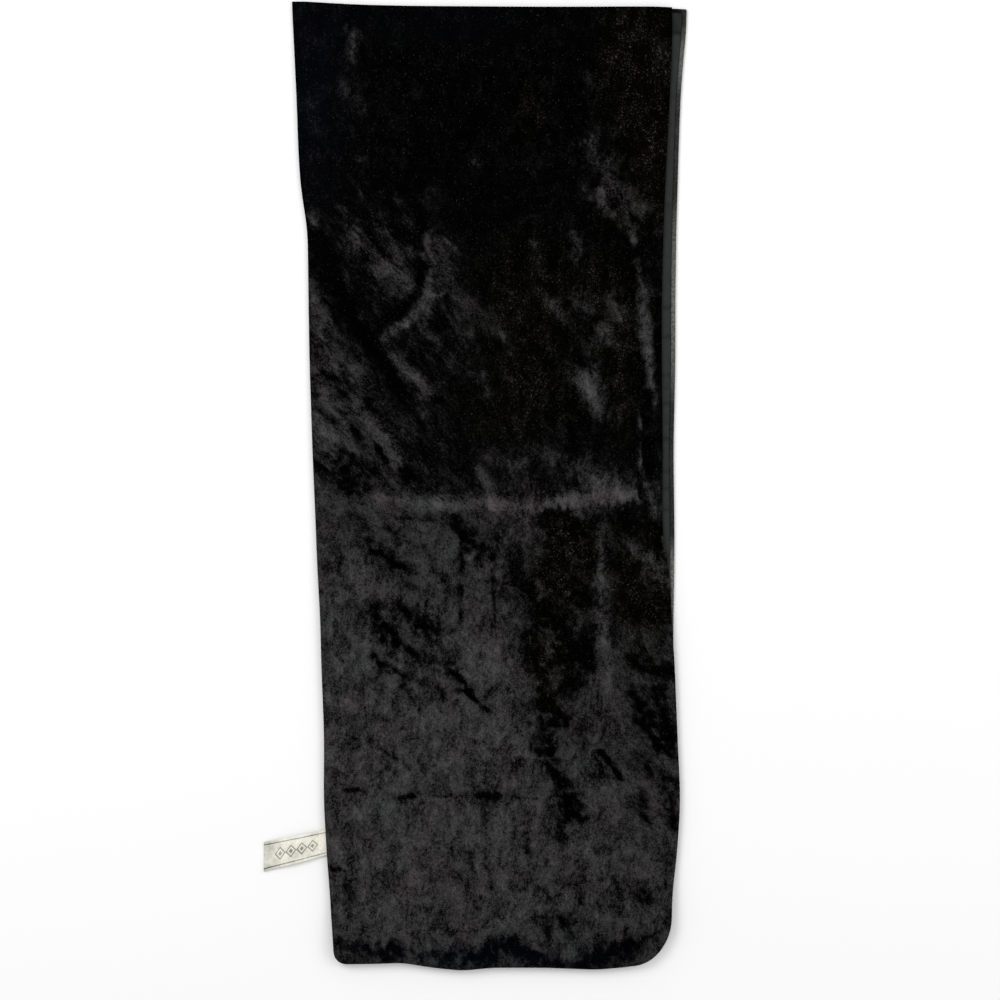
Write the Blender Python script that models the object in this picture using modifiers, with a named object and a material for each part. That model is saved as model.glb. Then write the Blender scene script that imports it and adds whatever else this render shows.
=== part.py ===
"""An evening stole of crushed velvet with a smooth lining, folded once across its middle and laid flat.

The velvet is outward on both layers. The two sewn ends lie together at +Y, the soft fold is at -Y, and +X is
the side where the under layer peeks out with its lining upward. A woven label lies out from the -X side seam.
Metres, +Z up off the surface that the stole lies on.
"""

import math

import bpy
from mathutils import Vector

# Cloth
USUAL_WIDTH = 0.353
VELVET_THICK = 0.0016
SEAM_ROLL_THICK = 0.0027
SEAM_ROLL_WIDE = 0.0035
SEAM_ROLL_STEP = 0.0004
SEAM_ROLL_ROUND = 0.0008
LINING_THICK = 0.0009
GAP = 0.0003
LINING_SIDE_GAP = 0.0005

# Heights above the surface
EDGE_HEIGHT = 0.0063
MIDDLE_HEIGHT = 0.0077
FOLD_HEIGHT = 0.0114
MIDDLE_RISES_OVER = 0.050
FOLD_RISES_OVER = 0.060
DROOP_SLOPE = 0.25
DROOP_MOST = 0.0029
DROOP_STARTS = 0.0030

# Mesh fineness
CLOSE_COLUMNS = (0.010, 0.018, 0.031)
COLUMNS_BETWEEN = 15
UPPER_ROWS_APART = 0.032
UNDER_ROWS_APART = 0.100
ROWS_ROUND_FOLD = 7
LINING_NOSE_ROWS = 3
LINING_NOSE_TURN = math.radians(72)

# The lining's two layers part at its edges, out from these columns of its section.
GROOVE_COLUMN_LEFT = 3
GROOVE_COLUMN_RIGHT = -3
LAYER_SHARE_AT_FOLD = 0.42
LINING_ROOM_AT_EDGE = 0.0004
LINING_ROOM_INSIDE = 0.0010
FOLD_CORNER_SHARE = 0.035

# The outline. along is the distance from the sewn ends towards the fold, and the other columns are the places
# of the four long edges across the stole, from its centre line.
EDGES = (
    # along, upper_left, upper_right, under_left, under_right
    (0.000, -0.201, 0.184, -0.184, 0.199),
    (0.020, -0.200, 0.185, -0.184, 0.200),
    (0.060, -0.198, 0.184, -0.185, 0.196),
    (0.100, -0.196, 0.182, -0.185, 0.193),
    (0.160, -0.194, 0.179, -0.181, 0.191),
    (0.198, -0.191, 0.177, -0.177, 0.190),
    (0.228, -0.185, 0.176, -0.171, 0.189),
    (0.300, -0.184, 0.174, -0.170, 0.188),
    (0.365, -0.183, 0.174, -0.169, 0.188),
    (0.455, -0.180, 0.175, -0.168, 0.186),
    (0.545, -0.176, 0.177, -0.166, 0.187),
    (0.582, -0.175, 0.181, -0.167, 0.187),
    (0.625, -0.172, 0.184, -0.166, 0.186),
    (0.670, -0.171, 0.187, -0.165, 0.186),
    (0.745, -0.168, 0.190, -0.162, 0.188),
    (0.810, -0.167, 0.192, -0.162, 0.189),
    (0.871, -0.165, 0.189, -0.160, 0.187),
    (0.905, -0.162, 0.184, -0.158, 0.183),
    (0.940, -0.160, 0.184, -0.158, 0.183),
    (0.960, -0.158, 0.184, -0.157, 0.183),
    (0.985, -0.157, 0.184, -0.156, 0.183),
)

# How far the sewn ends and the fold are from the straight line along = 0, at shares of the way across.
ENDS_AND_FOLD = (
    # share, upper_end, under_end, fold
    (0.00, 0.0000, 0.0040, 0.966),
    (0.03, 0.0008, 0.0042, 0.975),
    (0.14, 0.0030, 0.0048, 0.975),
    (0.20, 0.0040, 0.0050, 0.974),
    (0.29, 0.0048, 0.0054, 0.979),
    (0.38, 0.0052, 0.0058, 0.982),
    (0.47, 0.0054, 0.0060, 0.979),
    (0.62, 0.0058, 0.0064, 0.979),
    (0.78, 0.0064, 0.0068, 0.981),
    (0.88, 0.0068, 0.0070, 0.977),
    (0.93, 0.0072, 0.0070, 0.971),
    (0.97, 0.0078, 0.0072, 0.960),
    (1.00, 0.0090, 0.0082, 0.932),
)

# The rows of points are straight between these two places, and past them
# lean to the lines of the ends and the fold.
ROWS_STRAIGHT_FROM = 0.060
ROWS_STRAIGHT_TO = 0.871
USUAL_TURN = 0.975

# Soft ridges and troughs of the upper layer, each along a straight stretch. A trough has a negative height.
FOLD_LINES = (
    # from_across, from_along, to_across, to_along, half_width, height
    (-0.185, 0.206, 0.060, 0.217, 0.012, 0.0010),
    (-0.112, 0.507, 0.142, 0.514, 0.013, 0.0015),
    (-0.146, 0.806, 0.085, 0.808, 0.014, -0.0011),
    (0.113, 0.522, 0.121, 0.722, 0.013, 0.0018),
    (0.152, 0.250, 0.155, 0.412, 0.013, 0.0012),
    (-0.150, 0.208, -0.070, 0.302, 0.015, 0.0014),
    (-0.180, 0.236, -0.132, 0.323, 0.013, -0.0009),
    (-0.132, 0.323, -0.076, 0.424, 0.013, -0.0009),
    (-0.109, 0.340, -0.061, 0.401, 0.014, 0.0012),
    (-0.062, 0.242, -0.050, 0.302, 0.014, 0.0014),
    (0.093, 0.190, 0.139, 0.242, 0.013, 0.0011),
    (-0.150, 0.400, -0.102, 0.500, 0.014, 0.0011),
    (0.055, 0.540, 0.060, 0.780, 0.018, -0.0010),
    (-0.044, 0.668, 0.000, 0.719, 0.013, -0.0011),
    (-0.028, 0.524, -0.028, 0.638, 0.013, -0.0008),
    (0.155, 0.484, 0.180, 0.560, 0.014, 0.0011),
    (-0.125, 0.935, -0.065, 0.940, 0.022, 0.0014),
    (0.010, 0.930, 0.035, 0.932, 0.020, 0.0012),
    (0.095, 0.936, 0.140, 0.934, 0.020, 0.0013),
)
TROUGHS_KEEP_OFF_EDGE = 0.030

# Label: a short woven ribbon whose inner end is caught under the edge of the upper layer.
LABEL_THICK = 0.0010
LABEL_SEAM_END = (-0.1632, 0.8520)
LABEL_FREE_END = (-0.2292, 0.8674)
LABEL_WIDE_AT_SEAM = 0.0255
LABEL_WIDE_AT_FREE_END = 0.0300
LABEL_SEAM_HEIGHT = 0.0014
LABEL_ARCH = 0.0024
LABEL_LIES_FLAT_FOR = 0.09
LABEL_CELLS = (14, 3)

VELVET_COLOUR = (0.012, 0.012, 0.013)
LINING_COLOUR = (0.028, 0.031, 0.032)
LABEL_COLOUR = (0.62, 0.61, 0.53)


def looked_up(table, place, column):
    """The value in one column of a table at a place in its first column, on straight lines between rows."""
    for low, high in zip(table, table[1:]):
        if place <= high[0]:
            share = max(0.0, (place - low[0]) / (high[0] - low[0]))
            return low[column] + share * (high[column] - low[column])
    return table[-1][column]


def eased(value):
    """A smooth step from 0 to 1."""
    value = min(1.0, max(0.0, value))
    return value * value * (3 - 2 * value)


def upper_edges(along):
    return looked_up(EDGES, along, 1), looked_up(EDGES, along, 2)


def under_edges(along):
    return looked_up(EDGES, along, 3), looked_up(EDGES, along, 4)


def upper_end(share):
    return looked_up(ENDS_AND_FOLD, share, 1)


def under_end(share):
    return looked_up(ENDS_AND_FOLD, share, 2)


def fold_at(share):
    return looked_up(ENDS_AND_FOLD, share, 3)


def fold_line_height(across, along):
    """The height that the soft ridges and troughs give the upper layer at one place."""
    height = 0.0
    here = Vector((across, along))
    for x0, y0, x1, y1, half_width, most in FOLD_LINES:
        start = Vector((x0, y0))
        run = Vector((x1, y1)) - start
        share = min(1.0, max(0.0, (here - start).dot(run) / run.length_squared))
        off = (here - start - run * share).length / half_width
        height += most * math.exp(-off * off)
    return height


def upper_height(across, along):
    """The height of the upper layer's velvet face above the surface."""
    left, right = upper_edges(along)
    share = (across - left) / (right - left)
    from_edge = min(across - left, right - across, along - upper_end(share))
    from_fold = fold_at(share) - FOLD_HEIGHT / 2 - along
    middle = (MIDDLE_HEIGHT - EDGE_HEIGHT) * eased(from_edge / MIDDLE_RISES_OVER)
    near_fold = eased(1 - from_fold / FOLD_RISES_OVER)
    lines = fold_line_height(across, along)
    lines *= eased(from_edge / TROUGHS_KEEP_OFF_EDGE) * eased(from_fold / TROUGHS_KEEP_OFF_EDGE)
    flat = EDGE_HEIGHT + middle + lines
    under_left, under_right = under_edges(along)
    past_under = max(under_left - DROOP_STARTS - across, across - under_right - DROOP_STARTS, 0.0)
    droop = min(DROOP_MOST, DROOP_SLOPE * past_under) * (1 - near_fold)
    return flat + (FOLD_HEIGHT - flat) * near_fold - droop


def mirrored_shares(first):
    """Shares of the way across: the given distances at both edges, the close columns and even ones between."""
    near = [distance / USUAL_WIDTH for distance in (*first, *CLOSE_COLUMNS)]
    span = 1 - 2 * near[-1]
    even = [near[-1] + span * i / COLUMNS_BETWEEN for i in range(1, COLUMNS_BETWEEN)]
    return [*near, *even, *[1 - share for share in reversed(near)]]


def velvet_shares():
    return mirrored_shares((0.0, SEAM_ROLL_WIDE, SEAM_ROLL_WIDE + SEAM_ROLL_STEP))


def lining_shares():
    return mirrored_shares((SEAM_ROLL_WIDE + SEAM_ROLL_STEP + LINING_SIDE_GAP,))


def usual_rows(most_apart):
    """Rows at the outline's own places, with even rows between them where those are further apart."""
    places = [row[0] for row in EDGES if 0 < row[0] < ROWS_STRAIGHT_TO] + [ROWS_STRAIGHT_TO, USUAL_TURN]
    rows = [places[0]]
    for low, high in zip(places, places[1:]):
        parts = math.ceil((high - low) / most_apart)
        rows += [low + (high - low) * i / parts for i in range(1, parts + 1)]
    return rows


def row_along(row, end, turn):
    """The place of a row in a column that runs from this end to this turn."""
    if row < ROWS_STRAIGHT_FROM:
        return end + row / ROWS_STRAIGHT_FROM * (ROWS_STRAIGHT_FROM - end)
    if row > ROWS_STRAIGHT_TO:
        share = (row - ROWS_STRAIGHT_TO) / (USUAL_TURN - ROWS_STRAIGHT_TO)
        return ROWS_STRAIGHT_TO + share * (turn - ROWS_STRAIGHT_TO)
    return row


def column_alongs(end, turn, most_apart):
    """Distances down one velvet column, with three close rows at the end's seam roll."""
    roll = [end, end + SEAM_ROLL_WIDE, end + SEAM_ROLL_WIDE + SEAM_ROLL_STEP]
    return roll + [row_along(row, end, turn) for row in usual_rows(most_apart)]


def velvet_column(share):
    """The points of the velvet's outer face down one column, from one sewn end round the fold to the other."""
    radius = FOLD_HEIGHT / 2
    turn = fold_at(share) - radius
    points = []
    for along in column_alongs(upper_end(share), turn, UPPER_ROWS_APART):
        left, right = upper_edges(along)
        across = left + share * (right - left)
        points.append((across, -along, upper_height(across, along)))
    for i in range(1, ROWS_ROUND_FOLD):
        angle = math.pi * i / ROWS_ROUND_FOLD
        along = turn + radius * math.sin(angle)
        left, right = upper_edges(along)
        points.append((left + share * (right - left), -along, radius + radius * math.cos(angle)))
    for along in reversed(column_alongs(under_end(share), turn, UNDER_ROWS_APART)):
        left, right = under_edges(along)
        points.append((left + share * (right - left), -along, 0.0))
    return points


def material(name, colour, roughness):
    made = bpy.data.materials.new(name)
    made.use_nodes = True
    shader = made.node_tree.nodes["Principled BSDF"]
    shader.inputs["Base Color"].default_value = (*colour, 1.0)
    shader.inputs["Roughness"].default_value = roughness
    shader.inputs["Metallic"].default_value = 0.0
    made.diffuse_color = (*colour, 1.0)
    return made


def placed_grid(name, columns):
    """A grid primitive whose points are moved to the given columns of points."""
    across, down = len(columns), len(columns[0])
    bpy.ops.mesh.primitive_grid_add(x_subdivisions=across - 1, y_subdivisions=down - 1, size=1.0)
    grid = bpy.context.object
    grid.name = name
    for index, vertex in enumerate(grid.data.vertices):
        row, column = divmod(index, across)
        vertex.co = columns[column][down - 1 - row]
    return grid


def thickened(grid, thickness, offset):
    wall = grid.modifiers.new("Wall", "SOLIDIFY")
    wall.thickness = thickness
    wall.offset = offset
    wall.use_rim = True
    return wall


def velvet_shell():
    """The whole velvet face as one wall, thicker along its four edges where the seam is turned."""
    columns = [velvet_column(share) for share in velvet_shares()]
    shell = placed_grid("velvet_shell", columns)
    rolls = shell.vertex_groups.new(name="seam_roll")
    across, down = len(columns), len(columns[0])
    in_roll = [
        index
        for index in range(across * down)
        if index % across in (0, 1, across - 2, across - 1) or index // across in (0, 1, down - 2, down - 1)
    ]
    rolls.add(in_roll, 1.0, "REPLACE")
    wall = thickened(shell, SEAM_ROLL_THICK, -1)
    wall.vertex_group = rolls.name
    wall.thickness_vertex_group = VELVET_THICK / SEAM_ROLL_THICK
    rounding = shell.modifiers.new("Rounded seam", "BEVEL")
    rounding.width = SEAM_ROLL_ROUND
    rounding.segments = 2
    rounding.limit_method = "ANGLE"
    rounding.angle_limit = math.radians(80)
    shell.data.materials.append(material("velvet", VELVET_COLOUR, 0.85))
    return shell


def lining_ring(along_at, heights):
    """One closed section of the lining: two layers at its edges that are one solid between them.

    along_at gives the distance from the sewn ends at a share of the way across, and heights gives the top and
    the bottom of the solid at a place.
    """
    inset = SEAM_ROLL_WIDE + SEAM_ROLL_STEP + LINING_SIDE_GAP
    shares = lining_shares()

    def upper_place(share):
        along = along_at(share)
        left, right = upper_edges(along)
        return left + share * (right - left), along

    def upper_point(share, down):
        across, along = upper_place(share)
        return (across, -along, heights(across, along)[0] - down)

    def low_point(share, across, up):
        along = along_at(share)
        return (across, -along, heights(across, along)[1] + up)

    middle_top, middle_bottom = heights(*upper_place(0.5))
    layer = min(LINING_THICK, LAYER_SHARE_AT_FOLD * (middle_top - middle_bottom))
    low_left = under_edges(along_at(0.0))[0] + inset
    low_right = under_edges(along_at(1.0))[1] - inset
    groove_left, groove_right = shares[GROOVE_COLUMN_LEFT], shares[GROOVE_COLUMN_RIGHT]
    ring = [upper_point(share, 0.0) for share in shares]
    ring += [upper_point(share, layer) for share in reversed(shares[GROOVE_COLUMN_RIGHT:])]
    ring.append(low_point(groove_right, upper_place(groove_right)[0], layer))
    ring += [low_point(1.0, low_right, layer), low_point(1.0, low_right, 0.0)]
    ring += [low_point(0.0, low_left, 0.0), low_point(0.0, low_left, layer)]
    ring.append(low_point(groove_left, upper_place(groove_left)[0], layer))
    ring += [upper_point(share, layer) for share in reversed(shares[: GROOVE_COLUMN_LEFT + 1])]
    return ring


def lining_heights(across, along):
    """The top and bottom of the lining's solid, clear of the velvet above and below it."""
    left, right = upper_edges(along)
    share = (across - left) / (right - left)
    from_edge = min(across - left, right - across, along - upper_end(share))
    from_fold = fold_at(share) - FOLD_HEIGHT / 2 - along
    under_left, under_right = under_edges(along)
    from_edge = min(from_edge, across - under_left, under_right - across)
    inside = eased(from_edge / TROUGHS_KEEP_OFF_EDGE) * eased(from_fold / TROUGHS_KEEP_OFF_EDGE)
    room = LINING_ROOM_AT_EDGE + (LINING_ROOM_INSIDE - LINING_ROOM_AT_EDGE) * inside
    return upper_height(across, along) - VELVET_THICK - GAP - room, VELVET_THICK + GAP


def lining_turn(share):
    """Where the lining's round nose starts, drawn back where the fold line slants at the corners."""
    folds = (fold_at(share - FOLD_CORNER_SHARE), fold_at(share), fold_at(share + FOLD_CORNER_SHARE))
    return min(folds) - FOLD_HEIGHT / 2


def lining_rings():
    """The lining's sections, from the sewn ends to the round nose inside the fold."""
    inset = SEAM_ROLL_WIDE + SEAM_ROLL_STEP + GAP
    nose_reach = FOLD_HEIGHT / 2 - VELVET_THICK - GAP - LINING_ROOM_AT_EDGE
    rings = []
    for row in [0.0, *usual_rows(UPPER_ROWS_APART)]:

        def along_at(share, row=row):
            start = max(upper_end(share), under_end(share)) + inset
            return row_along(row, start, lining_turn(share))

        rings.append(lining_ring(along_at, lining_heights))
    for i in range(1, LINING_NOSE_ROWS + 1):
        angle = LINING_NOSE_TURN * i / LINING_NOSE_ROWS

        def nose_at(share, forward=nose_reach * math.sin(angle)):
            return lining_turn(share) + forward

        def nose_heights(across, along, part=math.cos(angle), forward=nose_reach * math.sin(angle)):
            top, bottom = lining_heights(across, along - forward)
            return (top + bottom + (top - bottom) * part) / 2, (top + bottom - (top - bottom) * part) / 2

        rings.append(lining_ring(nose_at, nose_heights))
    return rings


def lining():
    """The lining: both hidden layers share one solid, one layer thick where the under layer peeks out."""
    rings = lining_rings()
    around = len(rings[0])
    corners = [point for ring in rings for point in ring]
    faces = [tuple(range(around)), tuple(reversed(range(len(corners) - around, len(corners))))]
    for row in range(len(rings) - 1):
        for i in range(around):
            j = (i + 1) % around
            near, far = row * around, (row + 1) * around
            faces.append((near + j, near + i, far + i, far + j))
    mesh = bpy.data.meshes.new("lining")
    mesh.from_pydata(corners, [], faces)
    mesh.materials.append(material("lining", LINING_COLOUR, 0.55))
    return bpy.data.objects.new("lining", mesh)


def label():
    """A short ribbon that comes from under the upper layer's side edge, arches a little and lies down."""
    long_cells, wide_cells = LABEL_CELLS
    seam = Vector(LABEL_SEAM_END)
    run = Vector(LABEL_FREE_END) - seam
    columns = []
    for j in range(wide_cells + 1):
        column = []
        for i in range(long_cells + 1):
            share = i / long_cells
            wide = LABEL_WIDE_AT_SEAM + share * (LABEL_WIDE_AT_FREE_END - LABEL_WIDE_AT_SEAM)
            place = seam + run * share
            past = max(0.0, share - LABEL_LIES_FLAT_FOR) / (1 - LABEL_LIES_FLAT_FOR)
            arch = LABEL_ARCH * math.sin(math.pi * past) * math.sqrt(1 - past)
            height = LABEL_SEAM_HEIGHT * (1 - past) + arch
            column.append((place.x, -place.y - wide * (j / wide_cells - 0.5), height))
        columns.append(column)
    ribbon = placed_grid("label", columns)
    thickened(ribbon, LABEL_THICK, 1)
    ribbon.data.materials.append(material("label", LABEL_COLOUR, 0.45))
    return ribbon


def centred(pieces):
    """Moves the pieces so that the middle of the stole's box is over the origin, and its underside at z = 0."""
    bpy.context.view_layer.update()
    seen = bpy.context.evaluated_depsgraph_get()
    points = [Vector(corner) for piece in pieces for corner in piece.evaluated_get(seen).bound_box]
    lowest = Vector([min(point[axis] for point in points) for axis in range(3)])
    highest = Vector([max(point[axis] for point in points) for axis in range(3)])
    middle = (lowest + highest) / 2
    for piece in pieces:
        piece.location = (-middle.x, -middle.y, -lowest.z)


def main():
    for old in list(bpy.data.objects):
        bpy.data.objects.remove(old, do_unlink=True)
    stole = bpy.data.collections.new("evening_stole")
    bpy.context.scene.collection.children.link(stole)
    pieces = [velvet_shell(), lining(), label()]
    for piece in pieces:
        for holder in list(piece.users_collection):
            holder.objects.unlink(piece)
        stole.objects.link(piece)
        piece.data.shade_smooth()
    centred(pieces)


main()
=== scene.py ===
"""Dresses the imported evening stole: crushed velvet, its lining, the woven label and the sewing.

Metres, in the part's own frame: +Z up off the surface, +Y towards the sewn ends, +X towards the side where
the lining shows. Inside the functions a place on the stole is given by across, from its centre line, and
along, from its sewn ends towards its fold.
"""

import math

import bpy
import numpy as np
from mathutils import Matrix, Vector, noise


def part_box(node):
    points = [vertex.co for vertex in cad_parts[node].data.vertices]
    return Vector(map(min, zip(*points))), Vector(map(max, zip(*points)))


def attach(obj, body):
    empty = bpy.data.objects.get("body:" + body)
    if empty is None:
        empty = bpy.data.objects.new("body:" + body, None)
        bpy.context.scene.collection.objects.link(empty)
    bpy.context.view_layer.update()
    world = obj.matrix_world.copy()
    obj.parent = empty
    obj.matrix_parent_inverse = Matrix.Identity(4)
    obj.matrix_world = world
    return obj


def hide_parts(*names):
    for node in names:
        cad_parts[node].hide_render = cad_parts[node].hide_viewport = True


bl_info = {
    "name": "Folded Velvet Stole",
    "version": (1, 0, 0),
    "blender": (4, 5, 0),
    "location": "View3D > Sidebar > Stole",
    "description": "Makes the cloth, label, sewing and studio of a folded velvet stole around its part",
    "category": "Object",
}

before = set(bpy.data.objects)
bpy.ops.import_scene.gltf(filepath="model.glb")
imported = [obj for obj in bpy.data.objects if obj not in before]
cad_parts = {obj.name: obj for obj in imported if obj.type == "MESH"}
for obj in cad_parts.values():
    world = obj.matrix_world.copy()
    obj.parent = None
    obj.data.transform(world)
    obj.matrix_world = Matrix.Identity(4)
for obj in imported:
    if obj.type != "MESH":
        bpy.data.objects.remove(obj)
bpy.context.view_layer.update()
SHELL_LOW, SHELL_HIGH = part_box("velvet_shell")
CENTRE_X = SHELL_LOW.x + 0.201

MM = 0.001

# The outline in millimetres, as the part's source has it but for a few of them. along is the distance from
# the sewn ends towards the fold, and the other columns are the four long edges' places from the centre line.
EDGES = MM * np.array((
    # along, upper_left, upper_right, under_left, under_right
    (0, -201, 184, -184, 199), (20, -200, 185, -184, 200), (60, -198, 184, -185, 196),
    (100, -196, 182, -185, 193), (160, -194, 179, -181, 191), (198, -191, 177, -177, 190),
    (228, -185, 176, -171, 189), (300, -184, 174, -170, 188), (365, -183, 174, -169, 188),
    (455, -180, 175, -168, 186), (530, -176.7, 174.5, -166.5, 187), (550, -176, 176, -166, 187),
    (575, -175, 182, -167, 187), (625, -172, 184, -166, 186), (670, -171, 187, -165, 186),
    (745, -168, 190, -162, 188), (810, -168.5, 193, -162, 190), (871, -165, 189, -160, 187),
    (905, -162, 184, -158, 183), (940, -160, 184, -158, 183), (960, -158, 184, -157, 183),
    (985, -157, 184, -156, 183),
))
UPPER_LEFT, UPPER_RIGHT, UNDER_LEFT, UNDER_RIGHT = 1, 2, 3, 4

# How many millimetres along the sewn ends and the fold lie, at shares of the way across.
ENDS_AND_FOLD = np.array((
    # share, upper_end, under_end, fold
    (0.00, 0, 4, 975.5), (0.03, 0.5, 4.2, 975.5), (0.14, 3, 4.8, 975), (0.20, 4, 5, 974),
    (0.29, 4.8, 5.4, 979), (0.38, 5.2, 5.8, 982), (0.47, 5.4, 6, 979), (0.62, 5.8, 6.4, 979),
    (0.78, 5.8, 6.8, 981), (0.88, 5.6, 7, 978), (0.93, 5.6, 7, 973), (0.97, 5.8, 7.2, 963),
    (1.00, 6.6, 8.2, 936),
)) * (1, MM, MM, MM)
UPPER_END, UNDER_END, FOLD = 1, 2, 3
EDGE_EASED_BY, END_EASED_BY = 0.018, 0.022
CORNER_FROM, CORNER_DEEP = 0.88, 0.049
SMALL_CORNER_WIDE, SMALL_CORNER_DEEP = 0.034, 0.0115

# Cloth, as in the part's source.
VELVET_THICK = 0.0016
EDGE_HEIGHT = 0.0063
MIDDLE_HEIGHT = 0.0077
FOLD_HEIGHT = 0.0114
MIDDLE_RISES_OVER = 0.050
FOLD_RISES_OVER = 0.060
DROOP_SLOPE = 0.25
DROOP_MOST = 0.0029
DROOP_STARTS = 0.0030
KEEP_OFF_EDGE = 0.030
STRAIGHT_FROM = 0.060
STRAIGHT_TO = 0.871

# The photograph's frame: its pixel that lies on the centre line at the sewn ends, and a pixel's real size.
PHOTO_CENTRE_X = 490.0
PHOTO_END_Y = 2.0
PIXEL = 0.001015
PHOTO_WIDTH = 1000
PHOTO_MIDDLE = 500.0

# Soft ridges and troughs that stand out on the upper layer, each along a straight stretch, in millimetres.
FOLD_LINES = MM * np.array((
    # from_across, from_along, to_across, to_along, half_width, height
    (-185, 206, 60, 217, 10, 1), (-112, 507, 142, 514, 10, 1.5), (-146, 806, 85, 808, 7, -1.1),
    (113, 522, 121, 722, 9, 1.8), (152, 250, 155, 412, 10, 1.2), (-150, 208, -70, 302, 12, 1.4),
    (-180, 236, -132, 323, 9, -0.9), (-132, 323, -76, 424, 9, -0.9), (-109, 340, -61, 401, 10, 1.2),
    (-62, 242, -50, 302, 10, 1.4), (93, 190, 139, 242, 9, 1.1), (-150, 400, -102, 500, 12, 1.1),
    (55, 540, 60, 780, 14, -1), (-44, 668, 0, 719, 6, -1.1), (-28, 524, -28, 638, 4, -0.8),
    (155, 484, 180, 560, 9, 1.1), (112, 760, 133, 788, 4, -0.8), (-108, 308, -62, 312, 7, 0.8),
    (-20, 295, 18, 345, 8, 0.7), (-135, 700, -90, 690, 8, -0.6), (150, 640, 186, 650, 9, -0.7),
    (-125, 935, -65, 940, 18, 1.4), (10, 930, 35, 932, 18, 1.2), (95, 936, 140, 934, 18, 1.3),
))

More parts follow.
